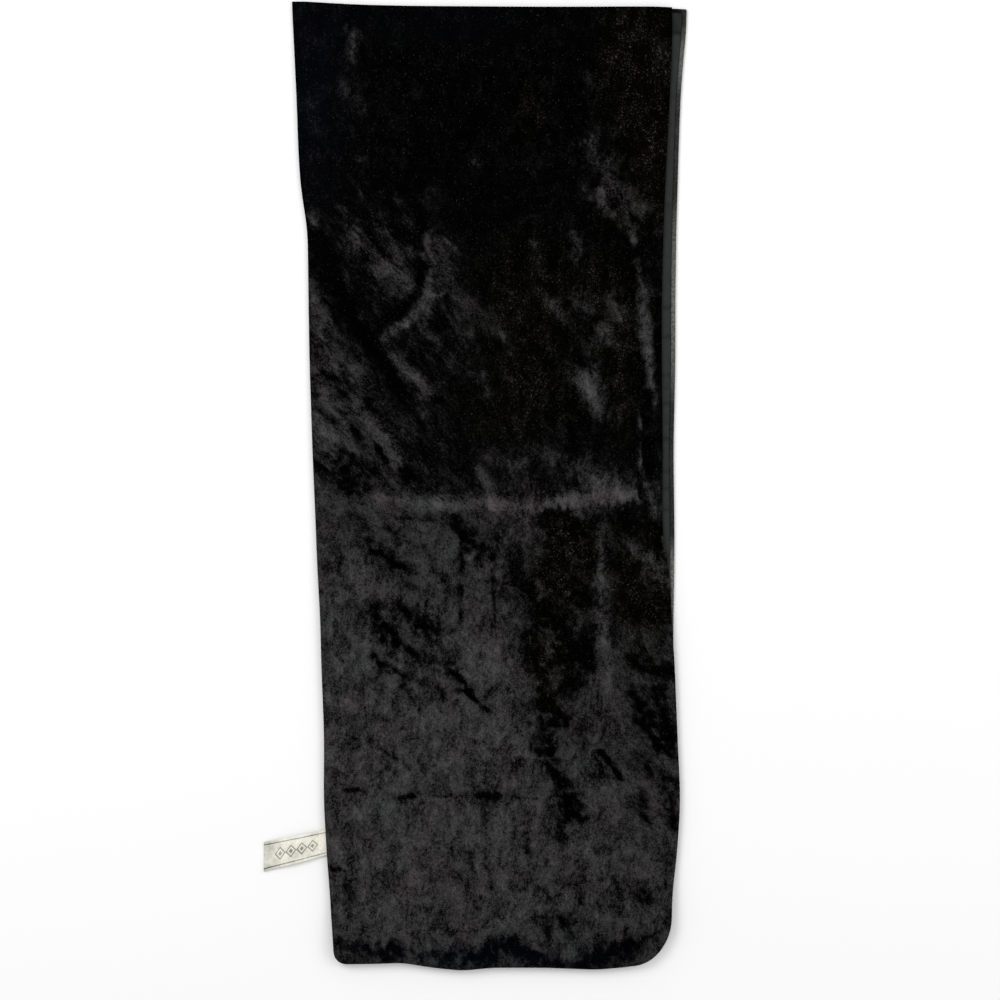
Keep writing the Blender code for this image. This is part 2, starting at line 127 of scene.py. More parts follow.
# Where the nap lies turned: light patches are positive and dark ones negative. Each starts at a pixel of the
# photograph's frame and runs so many pixels right and down; width is half its width, and strength is in
# hundredths.
NAP_STROKES = (
    # from_x, from_y, run_right, run_down, width, strength
    # the dark field by the sewn ends
    (350, 36, 4, 24, 7, 40), (345, 85, 17, 25, 9, 32), (312, 108, 6, 27, 9, 22), (348, 148, 14, 14, 8, 26),
    (475, 160, 3, 6, 4, 32), (590, 143, 16, 22, 10, 52), (585, 190, 19, 2, 4, 50),
    (595, 198, 23, 24, 6, 52), (612, 185, 24, 23, 11, 52), (628, 222, 2, 20, 4, 50),
    (659, 48, 3, 12, 4, 35), (585, 72, 5, 13, 6, 25), (314, 210, 1, 15, 4, 55), (398, 197, 14, 30, 4, 30),
    (432, 190, 6, 25, 7, 20),
    # the feathered fan on the left
    (343, 210, 13, 30, 4, 42), (356, 240, 29, 32, 13, 36), (385, 270, 27, 22, 11, 58),
    (370, 225, 30, 30, 8, 25), (345, 255, 7, 45, 4, 30), (352, 300, 10, 20, 4, 28),
    (428, 240, 0, 55, 5, 55), (434, 245, 11, 40, 11, 36), (443, 237, 14, 13, 4, 45),
    (427, 300, -2, 30, 6, 32), (424, 308, -20, 16, 4.6, 42), (404, 325, -18, 10, 5, 55),
    (450, 270, 20, 60, 8, 24), (470, 300, 30, 37, 7, 30), (528, 242, 8, 5, 3, 55), (574, 236, 4, 32, 5, 42),
    (550, 303, 10, 12, 7, 52), (575, 297, 13, 13, 7, 52), (612, 300, 10, 15, 8, 50),
    (634, 240, 6, 50, 3.5, 60), (642, 295, 4, 55, 7, 64), (649, 350, 3, 35, 5, 68),
    (652, 385, 2, 20, 3, 60), (315, 300, 10, 35, 11, 48), (312, 280, 2, 20, 5, 36),
    (325, 345, 10, 15, 9, 26), (320, 370, 30, 2, 12, 48), (325, 395, 20, 25, 13, 42),
    (318, 430, 27, 25, 15, 46), (350, 400, 30, 40, 9, 40), (375, 430, 25, 32, 9, 44),
    (395, 358, 35, 39, 6, 66), (410, 395, 15, 20, 5, 30), (440, 340, 10, 30, 7, 22),
    (484, 376, 3, 19, 5, 46), (465, 365, 10, 10, 7, 30), (455, 325, 7, 20, 6, 30),
    (578, 378, 10, 17, 7, 62), (590, 375, 8, 35, 8, 46), (480, 470, 16, 35, 5, 52),
    (490, 455, 30, 10, 9, 28), (530, 455, 30, 5, 11, 25), (585, 470, 15, 20, 11, 42),
    (600, 482, 25, 8, 11, 50), (422, 222, 3, 48, 3.6, -45), (425, 270, -11, 29, 4, -60),
    (413, 300, -19, 16, 4, -55), (394, 316, -14, 7, 3.5, -40), (433, 297, 13, -5, 2.6, 55),
    (488, 300, 24, 55, 3.6, 34), (600, 335, -10, 40, 12, 24), (590, 380, 22, 40, 11, 24),
    (605, 325, 7, 20, 7, 25), (627, 232, 3, 68, 3.5, -30), (632, 302, 6, 58, 3.5, -40),
    (639, 362, 9, 46, 3.5, -45), (653, 300, 4, 50, 3, -40), (646, 420, 4, 50, 4, -45),
    (322, 372, 16, 8, 3, -48), (335, 388, 17, 10, 3, -42), (318, 408, 20, 17, 3, -48),
    (340, 410, 22, 26, 3, -46), (325, 440, 25, 15, 3.4, -48), (352, 455, 20, 15, 3.6, -46),
    (370, 440, 18, 22, 3, -42), (318, 465, 17, 10, 3.6, -50), (330, 480, 20, 12, 3.6, -45),
    (365, 400, 13, 15, 3, -40), (345, 375, 7, 15, 3, -36), (318, 340, 12, 12, 3, -36),
    (326, 300, 12, 22, 3, -36), (360, 215, 12, 25, 3, -30), (372, 238, 20, 24, 3, -34),
    (366, 260, 22, 20, 3, -30), (380, 216, 18, 34, 3.4, 30), (352, 228, 10, 20, 2.6, 40),
    (405, 240, 7, 22, 3, 28), (372, 286, 12, 14, 3.2, 30), (398, 262, 12, 12, 3, 34),
    (440, 300, 12, 22, 3, 34), (452, 300, 10, 30, 2.6, 30), (470, 335, 12, 25, 3, 28),
    (428, 330, 8, 20, 3.4, 30), (412, 345, 12, 13, 3.2, 28), (500, 360, 8, 20, 3.2, 24),
    (362, 36, 4, 12, 3, 26), (352, 180, 10, 16, 3.4, 24),
    # the pressed storage fold across the middle
    (381, 500, 59, 5, 6, 58), (440, 502, 60, 3, 6, 58), (497, 505, 33, 3, 7, 56), (545, 505, 30, -2, 6, 62),
    (565, 501, 67, -4, 7, 72), (330, 500, 45, 20, 13, 20), (639, 415, 1, 50, 2, 70),
    (640, 465, 12, 33, 3, 40), (644, 483, 23, 70, 4, 30),
    # dark hollows above and about it
    (313, 230, 22, 50, 8, -34), (335, 285, 25, 45, 8, -40), (365, 335, 40, 65, 9, -36),
    (345, 462, 2, 23, 9, -60), (362, 478, 4, 9, 6, -40), (402, 468, 10, 10, 8, -45),
    (355, 516, 10, 8, 7, -45), (330, 403, 30, 37, 3, -35), (345, 400, 40, 55, 3, -35),
    (318, 395, 32, 5, 3, -30), (455, 520, 15, 25, 6, -50), (518, 514, 18, 36, 3.4, 34),
    (530, 506, 16, 34, 3, 26), (470, 530, 22, 30, 5, -40), (380, 516, 50, 4, 2, -35),
    (385, 528, 27, 15, 3, -45), (370, 543, 25, 22, 8, -52), (395, 560, 15, 12, 6, -40),
    (440, 575, 4, 5, 3, -50), (376, 610, 16, 28, 10, -70), (402, 610, 36, 20, 8, -60),
    (420, 630, 25, 15, 6, -30), (548, 518, 8, 42, 9, -42), (565, 515, 20, 45, 13, -40),
    (545, 570, 35, 30, 15, -38), (525, 590, 20, 30, 9, -40), (510, 565, 20, 25, 7, -40),
    (550, 610, 35, 40, 14, -42), (525, 630, 10, 20, 8, -36), (620, 520, 35, 10, 9, -36),
    (622, 570, 18, 30, 13, -32), (630, 610, 35, 5, 13, -36), (655, 530, 7, 25, 5, -45),
    (660, 585, 8, 15, 5, -40), (632, 548, 16, 8, 6, 40), (655, 565, 13, 15, 6, 36),
    (600, 525, 0, 55, 3, 50), (600, 580, 3, 60, 5, 48), (603, 640, 4, 60, 7, 32),
    (462, 520, -1, 70, 2.2, -55), (461, 590, 1, 39, 2, -66), (494, 556, 0, 72, 2, -54),
    (487, 582, 28, 1, 3, -40), (503, 596, 12, 4, 4, -35), (478, 548, 4, 18, 3, -40),
    (331, 548, 14, 10, 5, -35), (341, 575, 11, 15, 4, -30), (350, 600, 10, 12, 4, -30),
    (423, 548, 13, 12, 3, -35), (410, 585, 12, 7, 4, -30), (395, 640, 23, 15, 4, -40),
    # light that is caught about the dark islands
    (345, 560, 17, 30, 8, 22), (420, 530, 25, 15, 8, 20), (455, 640, 60, 28, 14, 22),
    (350, 655, 15, 13, 4, 30), (388, 660, 14, 8, 3, 30), (455, 668, 15, 8, 3, 30), (470, 560, 6, 30, 6, 20),
    # the grey field by the fold
    (371, 656, 15, 11, 4.2, -78), (394, 670, 11, 7, 3, -70), (402, 684, 16, 14, 3, -72),
    (385, 642, 45, 18, 13, -30), (415, 680, 25, 10, 7, -30), (447, 658, 3, 20, 3, -70),
    (453, 676, 17, 17, 4.4, -92), (468, 694, 20, 15, 2.8, -95), (535, 650, 10, 50, 12, -50),
    (560, 645, 10, 45, 13, -50), (580, 650, 12, 15, 7, -50), (546, 706, 16, 16, 9, -62),
    (546, 725, 6, 25, 8, -56), (548, 750, 10, 25, 8, -50), (530, 730, 10, 25, 7, -42),
    (561, 780, 7, 35, 9, -60), (575, 800, 5, 15, 7, -55), (560, 820, 2, 22, 4, -60),
    (528, 823, -1, 27, 4, -65), (540, 825, 5, 5, 4, -30), (515, 825, 5, 20, 5, -26),
    (479, 795, 18, 2, 3.6, -80), (498, 793, 15, -2, 3, -75), (347, 791, 17, -2, 2, -85),
    (397, 796, 15, -3, 2.6, -90), (412, 794, 34, 0, 2, -50), (512, 796, 48, 1, 2, -42),
    (483, 805, 1, 20, 2, -45), (383, 748, 13, 10, 3, -65), (387, 765, 9, 7, 5, -38),
    (352, 749, 18, -9, 2, -55), (420, 760, 7, 10, 3, -48), (503, 750, 2, 25, 3, -46),
    (601, 750, 20, 28, 2.1, -110), (591, 743, 9, 9, 3, -60), (575, 757, -10, 5, 4, -42),
    (598, 765, 7, 10, 5, -34), (632, 660, 43, 12, 8, -62), (630, 690, 20, 25, 8, -50),
    (658, 690, 14, 50, 8, -60), (640, 720, 20, 20, 11, -45), (655, 745, 17, 10, 7, -45),
    (640, 762, 28, 21, 10, -48), (640, 800, 10, 22, 6, -50), (670, 800, 3, 25, 5, -55),
    (371, 813, 3, 2, 3, -40), (332, 867, 12, 3, 1.9, -95), (345, 880, 5, 20, 6, -38),
    (355, 895, 3, 10, 4, -36), (385, 875, 3, 10, 4, -34), (472, 853, 2, 27, 3.5, -55),
    (475, 900, 2, 7, 3, -40), (540, 915, 8, 15, 6, -42), (560, 912, 10, 20, 6, -52),
    (580, 895, 2, 8, 3, -70), (625, 885, 15, 5, 6, -30), (645, 895, 5, 10, 5, -32),
    (432, 912, 8, 6, 4, -32),
    # painted shade on the scallops where the cloth rolls over the fold
    (345, 944, 47, 6, 8, -50), (392, 950, 78, 6, 6, -42), (470, 956, 17, -4, 5, -45),
    (487, 950, 28, -8, 8, -70), (515, 944, 25, 13, 7, -70), (545, 962, 40, 1, 4, -45),
    (585, 956, 40, -8, 8, -75), (625, 947, 30, -13, 6, -45), (655, 938, 13, -23, 6, -30),
)

# The broad lie of the nap down the stole: how light it is on the left and on the right.
NAP_FIELD = np.array((
    # photo_y, left_light, middle_light, right_light
    (0, 0.03, 0.01, 0.04), (180, 0.06, 0.03, 0.06), (230, 0.12, 0.05, 0.08), (300, 0.14, 0.09, 0.08),
    (360, 0.24, 0.08, 0.09), (420, 0.37, 0.08, 0.11), (470, 0.48, 0.14, 0.14), (495, 0.57, 0.36, 0.31),
    (530, 0.67, 0.55, 0.32), (600, 0.72, 0.66, 0.36), (660, 0.8, 0.74, 0.52), (720, 0.86, 0.84, 0.66),
    (800, 0.86, 0.84, 0.74), (900, 0.8, 0.8, 0.74), (940, 0.7, 0.72, 0.68), (970, 0.52, 0.52, 0.52),
))
FIELD_LEFT_X, FIELD_MIDDLE_X, FIELD_RIGHT_X = 340.0, 480.0, 600.0

# Tints that lie over the dark nap: centre, reach and strength, in the photograph's frame.
WARM_TINTS = (
    (640, 60, 38, 70, 1), (655, 160, 30, 60, 0.8), (530, 120, 14, 34, 0.45), (620, 215, 26, 20, 0.45),
    (610, 285, 40, 34, 0.5), (530, 300, 50, 60, 0.62), (620, 340, 22, 30, 0.55), (520, 400, 55, 45, 0.58),
    (560, 560, 30, 50, 1), (640, 590, 32, 60, 1), (545, 670, 22, 36, 0.75), (620, 400, 16, 50, 0.5),
)
COOL_TINTS = (
    (312, 90, 40, 130, 1), (450, 25, 110, 26, 0.5), (420, 950, 110, 18, 0.8), (560, 955, 100, 16, 0.8),
)


def looked_up(table, place, column, blur):
    """One column of a table at places in its first column, with the corners between its rows eased."""
    taps = (-1.0, -0.5, 0.0, 0.5, 1.0)
    return sum(np.interp(place + tap * blur, table[:, 0], table[:, column]) for tap in taps) / len(taps)


def edge(along, column):
    return looked_up(EDGES, along, column, EDGE_EASED_BY)


def end_line(share, column):
    return looked_up(ENDS_AND_FOLD, share, column, END_EASED_BY)


def fold_line(share):
    """The fold's place, with a wide round corner where the lining shows and a small one at the other side."""
    wavy = end_line(np.minimum(share, CORNER_FROM), FOLD)
    past_right = np.clip((share - CORNER_FROM) / (1 - CORNER_FROM), 0, 1)
    past_left = np.clip(1 - share / SMALL_CORNER_WIDE, 0, 1)
    rounding = CORNER_DEEP * (1 - np.sqrt(1 - past_right**2 * 0.995))
    return wavy - rounding - SMALL_CORNER_DEEP * (1 - np.sqrt(1 - past_left**2 * 0.97))


def eased(value):
    value = np.clip(value, 0.0, 1.0)
    return value * value * (3 - 2 * value)


def off_stretch(across, along, x0, y0, x1, y1):
    """How far each place is from a straight stretch."""
    run_x, run_y = x1 - x0, y1 - y0
    length = max(run_x**2 + run_y**2, 1e-12)
    share = np.clip(((across - x0) * run_x + (along - y0) * run_y) / length, 0, 1)
    return np.hypot(across - x0 - share * run_x, along - y0 - share * run_y)


def cloud(across, along, size, seed, octaves=4):
    """Soft noise between about -1 and 1, with lumps of about the given size."""
    flat = np.stack([across.ravel() / size, along.ravel() / size], axis=1)
    values = [noise.fractal(Vector((x, y, seed)), 0.9, 2.1, octaves) for x, y in flat]
    return np.array(values).reshape(across.shape)


# form of the folded stole

USUAL_WIDTH = 0.353
FOLD_RADIUS = FOLD_HEIGHT / 2
FOLD_STARTS = 0.9686
ROLL_ROUND = 0.00135
ROLL_FLAT_TO = 0.0032
ROLL_ENDS_AT = 0.0046
UNDER_COARSER, COLUMNS_COARSER, INNER_STEP = 3.8, 1.15, 3
NARROW_CREASE = 0.0085
CLOSE_TO_EDGE = np.array((0.0, 0.0002, 0.0006, 0.00135, 0.0024, 0.0032, 0.0039, 0.0046, 0.0065, 0.0090))
TURNS = 14


def spread(close, length, apart):
    """Places from one edge to the other: close together by both edges and evenly apart between them."""
    count = max(3, round((length - 2 * close[-1]) / apart) + 1)
    middle = np.linspace(close[-1], length - close[-1], count)
    return np.concatenate([close[:-1], middle, length - close[-2::-1]])


def from_end(close, length, apart):
    """Places from a sewn end to the fold: close together only by the end."""
    count = max(3, round((length - close[-1]) / apart) + 1)
    return np.concatenate([close[:-1], np.linspace(close[-1], length, count)])


def layer_places(rows, columns, end_column, left_column, right_column):
    """Across and along for a grid on one layer, from distances to its sewn end and its left edge."""
    rows, columns = rows[:, None], columns[None, :]
    rough_share = columns / USUAL_WIDTH
    near_end = rows + end_line(rough_share, end_column) * (1 - np.minimum(rows / STRAIGHT_FROM, 1))
    turn = fold_line(rough_share) - FOLD_RADIUS
    near_fold = STRAIGHT_TO + (rows - STRAIGHT_TO) / (FOLD_STARTS - STRAIGHT_TO) * (turn - STRAIGHT_TO)
    along = np.where(rows < STRAIGHT_TO, near_end, near_fold)
    left, right = edge(along, left_column), edge(along, right_column)
    fine = CLOSE_TO_EDGE[-1]
    share = np.clip((columns - fine) / (USUAL_WIDTH - 2 * fine), 0, 1)
    across = left + np.minimum(columns, fine) + share * (right - left - 2 * fine)
    across = across + np.maximum(columns - (USUAL_WIDTH - fine), 0)
    return across, along


def lines_height(across, along, broad):
    """The cloth's own folds when broad is true, and else the narrow creases that only its pile shows."""
    height = np.zeros_like(across)
    for x0, y0, x1, y1, half_width, most in FOLD_LINES:
        if (half_width >= NARROW_CREASE) == broad:
            height = height + most * np.exp(-(off_stretch(across, along, x0, y0, x1, y1) / half_width) ** 2)
    return height


def upper_height(across, along):
    left, right = edge(along, UPPER_LEFT), edge(along, UPPER_RIGHT)
    share = (across - left) / (right - left)
    from_edge = np.minimum(np.minimum(across - left, right - across), along - end_line(share, UPPER_END))
    from_fold = fold_line(share) - FOLD_RADIUS - along
    keep = eased(from_edge / KEEP_OFF_EDGE) * eased(from_fold / KEEP_OFF_EDGE)
    flat = EDGE_HEIGHT + (MIDDLE_HEIGHT - EDGE_HEIGHT) * eased(from_edge / MIDDLE_RISES_OVER)
    flat = flat + lines_height(across, along, True) * keep
    near_fold = eased(1 - from_fold / FOLD_RISES_OVER)
    past_left = edge(along, UNDER_LEFT) - DROOP_STARTS - across
    past_right = across - edge(along, UNDER_RIGHT) - DROOP_STARTS
    past = np.maximum(np.maximum(past_left, past_right), 0)
    droop = np.minimum(DROOP_MOST, DROOP_SLOPE * past) * (1 - near_fold)
    return flat + (FOLD_HEIGHT - flat) * near_fold - droop, keep


def stole_grid(upper_rows, under_rows, columns):
    """Across, along, the outer face's height and the way outward, for rows from one sewn end to the other."""
    up_x, up_y = layer_places(upper_rows, columns, UPPER_END, UPPER_LEFT, UPPER_RIGHT)
    low_x, low_y = layer_places(under_rows[::-1], columns, UNDER_END, UNDER_LEFT, UNDER_RIGHT)
    up_z, keep = upper_height(up_x, up_y)
    angles = np.linspace(0, math.pi, TURNS + 2)[1:-1, None]
    lean = (1 - np.cos(angles)) / 2
    turn_x = up_x[-1] * (1 - lean) + low_x[0] * lean
    turn_y = up_y[-1] * (1 - lean) + low_y[0] * lean + FOLD_RADIUS * np.sin(angles)
    flat_up, flat_turn, flat_low = (np.zeros_like(part) for part in (up_x, turn_x, low_x))
    parts = {
        "across": (up_x, turn_x, low_x),
        "along": (up_y, turn_y, low_y),
        "height": (up_z, flat_turn + FOLD_RADIUS + FOLD_RADIUS * np.cos(angles), flat_low),
        "out_along": (flat_up, flat_turn + np.sin(angles), flat_low),
        "out_up": (flat_up + 1, flat_turn + np.cos(angles), flat_low - 1),
        "upper": (flat_up + 1, flat_turn + 1 - lean, flat_low),
        "keep": (keep, flat_turn, flat_low),
    }
    grid = {name: np.concatenate(part) for name, part in parts.items()}
    side = np.minimum(columns, USUAL_WIDTH - columns)[None, :]
    end = np.concatenate([upper_rows, np.full(TURNS, 1.0), under_rows[::-1]])[:, None]
    grid["from_edge"] = np.minimum(side, end)
    grid["from_right"] = USUAL_WIDTH - columns[None, :] + 0 * end
    return grid


def corners_at(grid, depth):
    """The grid's corners in the part's frame, at a depth under the outer face."""
    across = grid["across"]
    along = grid["along"] - depth * grid["out_along"]
    height = grid["height"] - depth * grid["out_up"]
    return np.stack([across + CENTRE_X, SHELL_HIGH.y - along, height], axis=-1)


def thinned(count, keep_by_rim, step):
    """Every step-th place, with all of those close to both rims."""
    inside = list(range(keep_by_rim, count - keep_by_rim, step))
    return list(range(keep_by_rim)) + inside + list(range(count - keep_by_rim, count))


def closed_faces(rows, columns, step=1, by_rim=1):
    """Faces of a closed shell: its outer grid, and a coarser inner grid that shares the outer one's rim."""
    index = np.arange(rows * columns).reshape(rows, columns)
    inner = index + rows * columns
    for shared in (np.s_[0, :], np.s_[-1, :], np.s_[:, 0], np.s_[:, -1]):
        inner[shared] = index[shared]
    outer = np.stack([index[:-1, :-1], index[1:, :-1], index[1:, 1:], index[:-1, 1:]], axis=-1)
    faces = outer.reshape(-1, 4).tolist()
    kept_rows, kept_columns = thinned(rows, by_rim, step), thinned(columns, by_rim, step)
    for top, bottom in zip(kept_rows, kept_rows[1:]):
        for left, right in zip(kept_columns, kept_columns[1:]):
            face = [(top, at) for at in (range(left, right) if top == 0 else (left,))]
            face += [(at, right) for at in (range(top, bottom) if right == columns - 1 else (top,))]
            face += [(bottom, at) for at in (range(right, left, -1) if bottom == rows - 1 else (right,))]
            face += [(at, left) for at in (range(bottom, top, -1) if left == 0 else (bottom,))]
            faces.append([int(inner[place]) for place in face])
    return faces


def placed(name, data):
    """A new object in the scene."""
    thing = bpy.data.objects.new(name, data)
    bpy.context.scene.collection.objects.link(thing)
    return thing


def new_object(name, sides, faces, material, **values):
    """A smooth mesh with one material; the named numbers of one side hold for every side."""
    corners = np.concatenate([side.reshape(-1, 3) for side in sides])
    used = np.array(sorted({corner for face in faces for corner in face}))
    renumbered = np.full(len(corners), -1)
    renumbered[used] = np.arange(len(used))
    mesh = bpy.data.meshes.new(name)
    faces = [[int(renumbered[corner]) for corner in face] for face in faces]
    mesh.from_pydata(corners[used].tolist(), [], faces)
    for value_name, numbers in values.items():
        layer = mesh.attributes.new(value_name, "FLOAT", "POINT")
        layer.data.foreach_set("value", np.tile(numbers.ravel(), len(sides)).astype(np.float32)[used])
    mesh.materials.append(material)
    mesh.shade_smooth()
    return placed(name, mesh)


def on_photo(across, along):
    return PHOTO_CENTRE_X + across / PIXEL, PHOTO_END_Y + along / PIXEL


FEATHER_LEAN = math.radians(42)
PATCHES_BELOW = 110
THIN_LINE = 4.2
CRISP = -79


def slant_at(across, along):
    """Where the pile's streaks run down to the right rather than along the stole."""
    x, y = on_photo(across, along)
    upper_left = eased((560 - y) / 90) * eased((y - 150) / 60) * eased((540 - x) / 110)
    lower_right = 0.8 * eased((x - 600) / 40) * eased((y - 560) / 60) * eased((860 - y) / 60)
    return np.maximum(upper_left, lower_right)


def nap_on_top(across, along):
    """How far the pile is turned to the light on the upper layer: 0 is black and 1 is charcoal."""
    x, y = on_photo(across, along)
    lean = slant_at(across, along) * FEATHER_LEAN
    forth = across * np.sin(lean) + along * np.cos(lean)
    aside = across * np.cos(lean) - along * np.sin(lean)
    wander, shiver = cloud(across, along, 0.022, 17.0, 3), cloud(across, along, 0.005, 19.0, 2)
    gaps = cloud(across, along, 0.012, 23.0, 3)
    broken, firm = np.clip(0.75 + 1.1 * gaps, 0.15, 1.3), np.clip(1 + 0.8 * gaps, 0.55, 1.25)
    mottled = np.clip(1.0 + 1.3 * cloud(across, along, 0.0075, 27.0, 3), 0.25, 1.6)
    feather = 6.5 * cloud(aside / 0.0055, forth / 0.030, 1.0, 13.0, 3)
    calm_x, calm_y = x + 2.6 * wander + 1.3 * shiver, y + 2.6 * wander - 1.3 * shiver + 0.2 * feather
    x = x + 4 * cloud(across, along, 0.020, 3.0) + 1.5 * cloud(across, along, 0.006, 5.0)
    y = y + 4 * cloud(across, along, 0.020, 7.0) + 1.5 * cloud(across, along, 0.006, 9.0)
    x, y = x + feather * np.sin(lean), y + feather * np.cos(lean)
    left, middle, right = (np.interp(y, NAP_FIELD[:, 0], NAP_FIELD[:, i]) for i in (1, 2, 3))
    to_middle = eased((x - FIELD_LEFT_X) / (FIELD_MIDDLE_X - FIELD_LEFT_X))
    to_right = eased((x - FIELD_MIDDLE_X) / (FIELD_RIGHT_X - FIELD_MIDDLE_X))
    nap = left + (middle - left) * to_middle + (right - middle) * to_right
    for x0, y0, run_x, run_y, width, strength in NAP_STROKES:
        thin = width < THIN_LINE
        at_x, at_y = (calm_x, calm_y) if thin else (x, y)
        off = off_stretch(at_x, at_y, x0, y0, x0 + run_x, y0 + run_y)
        stroke = strength / 100 * np.exp(-(off / width) ** 2)
        if thin:
            stroke = stroke * (firm if strength < CRISP else broken)
        nap = nap + (stroke * mottled if strength < 0 and not thin else stroke)
    return nap


def nap_below(across, along, rng):
    """The same kind of patches on the layer that isn't seen, placed by chance."""
    nap = 0.45 + 0.30 * cloud(across, along, 0.11, 21.0, 2)
    for _ in range(PATCHES_BELOW):
        x0, y0 = rng.uniform(-0.18, 0.19), rng.uniform(0.0, 0.97)
        turn, reach = rng.normal(0.9, 0.5), rng.uniform(0.008, 0.045)
        stretch = off_stretch(across, along, x0, y0, x0 + reach * math.cos(turn), y0 + reach * math.sin(turn))
        nap = nap + rng.choice((-0.5, 0.45)) * np.exp(-(stretch / rng.uniform(0.003, 0.012)) ** 2)
    return nap


def tint(across, along, spots):
    x, y = on_photo(across, along)
    amount = np.zeros_like(across)
    for centre_x, centre_y, reach_x, reach_y, strength in spots:
        off = ((x - centre_x) / reach_x) ** 2 + ((y - centre_y) / reach_y) ** 2
        amount = amount + strength * np.exp(-off)
    return np.minimum(amount, 1.2)


# Painted sheen on the seam roll that shows outside the lining: how light it is painted, down the stole.
ROLL_PAINTED_SHEEN = np.array((
    # photo_y, lightness
    (0, 0.13), (30, 0.13), (40, 0.7), (85, 0.72), (97, 0.15), (205, 0.16), (225, 0.5), (300, 0.9),
    (375, 0.62), (395, 0.17), (538, 0.15), (548, 0.6), (566, 0.98), (608, 0.95), (618, 0.35), (645, 0.12),
    (1000, 0.08),
))


def make_velvet(settings):
    apart = settings.mesh_step
    columns = spread(CLOSE_TO_EDGE, USUAL_WIDTH, apart * COLUMNS_COARSER)
    upper_rows = from_end(CLOSE_TO_EDGE, FOLD_STARTS, apart)
    under_rows = from_end(CLOSE_TO_EDGE, FOLD_STARTS, apart * UNDER_COARSER)
    grid = stole_grid(upper_rows, under_rows, columns)
    across, along, upper = grid["across"], grid["along"], grid["upper"]
    crush = cloud(across, along, 0.018, 1.0, 3) + 0.4 * cloud(across, along, 0.007, 2.0, 2)
    crush = settings.crush_height * crush + lines_height(across, along, False)
    crush = crush * grid["keep"] * (upper > 0.99)

    from_edge = grid["from_edge"]
    rounding = ROLL_ROUND - np.sqrt(np.maximum(ROLL_ROUND**2 - np.maximum(ROLL_ROUND - from_edge, 0) ** 2, 0))
    past_roll = eased((from_edge - ROLL_FLAT_TO) / (ROLL_ENDS_AT - ROLL_FLAT_TO))
    roll = 2 * ROLL_ROUND
    thick = roll + (settings.velvet_thickness - roll) * past_roll
    sides = corners_at(grid, rounding - crush), corners_at(grid, thick - rounding)

    nap = np.where(upper > 0.02, nap_on_top(across, along), 0)
    below = nap_below(across, along, np.random.default_rng(settings.seed))
    lean = eased(upper * 1.6 - 0.3)
    nap = nap * lean + below * (1 - lean)
    # painted sheen on the seam roll outside the lining, carried to the material in the roll attribute
    rim = np.interp(PHOTO_END_Y + along / PIXEL, ROLL_PAINTED_SHEEN[:, 0], ROLL_PAINTED_SHEEN[:, 1])
    rim = rim * (grid["from_right"] < ROLL_ENDS_AT) * (upper < 0.01) * (from_edge < 0.05)
    faces = closed_faces(*across.shape, INNER_STEP, len(CLOSE_TO_EDGE))
    return new_object(
        "velvet", sides, faces, velvet_material(settings), nap=nap, roll=rim,
        warm=tint(across, along, WARM_TINTS) * upper, cool=tint(across, along, COOL_TINTS) * upper,
        slant=slant_at(across, along) * upper)


# The lining's seam, its depth under the velvet's outer face, and the small puckers that show by its edge.
LINING_FROM_EDGE = 0.0046
LINING_OUTER_DEPTH = 0.00195
LINING_INNER_DEPTH = 0.00280
PUCKERS = (
    # photo_y, half_width in pixels, height in millimetres
    (22, 1.6, 0.16), (34, 1.4, -0.30), (66, 1.3, 0.12), (97, 1.2, -0.12), (140, 1.4, 0.10),
    (205, 1.3, -0.14), (246, 1.2, 0.10), (308, 1.5, -0.26), (337, 1.5, -0.26), (346, 1.3, 0.14),
    (375, 1.4, -0.24), (388, 1.3, -0.20), (404, 1.3, -0.26), (414, 1.2, 0.12), (423, 1.3, -0.22),
    (439, 1.3, -0.24), (455, 1.2, 0.10), (472, 1.3, -0.22), (489, 1.3, -0.20), (510, 1.4, -0.24),
    (556, 1.4, -0.20), (580, 1.6, -0.24), (612, 1.8, -0.30), (645, 1.6, -0.16),
)
PUCKERS_REACH_IN = 0.024
PUCKERS_WIDER = 1.3
LINING_RIM = 0.0008

# Rows of the photograph between which the lining's strip is darker all over.
DARKER_FROM_Y, DARKER_TO_Y, DARKER_OVER = 6, 36, 3

# How far apart the lining's rows are on the upper and on the under layer, and its columns where it shows.
LINING_ROWS = 0.0060, 0.0022
STRIP_COLUMNS, STRIP_STEP = 25, 0.0011
CLOSE_TO_LINING_END = np.array((0.0, 0.0012, 0.0024, 0.0036, 0.0050))
PUCKER_SHADE = 5.0


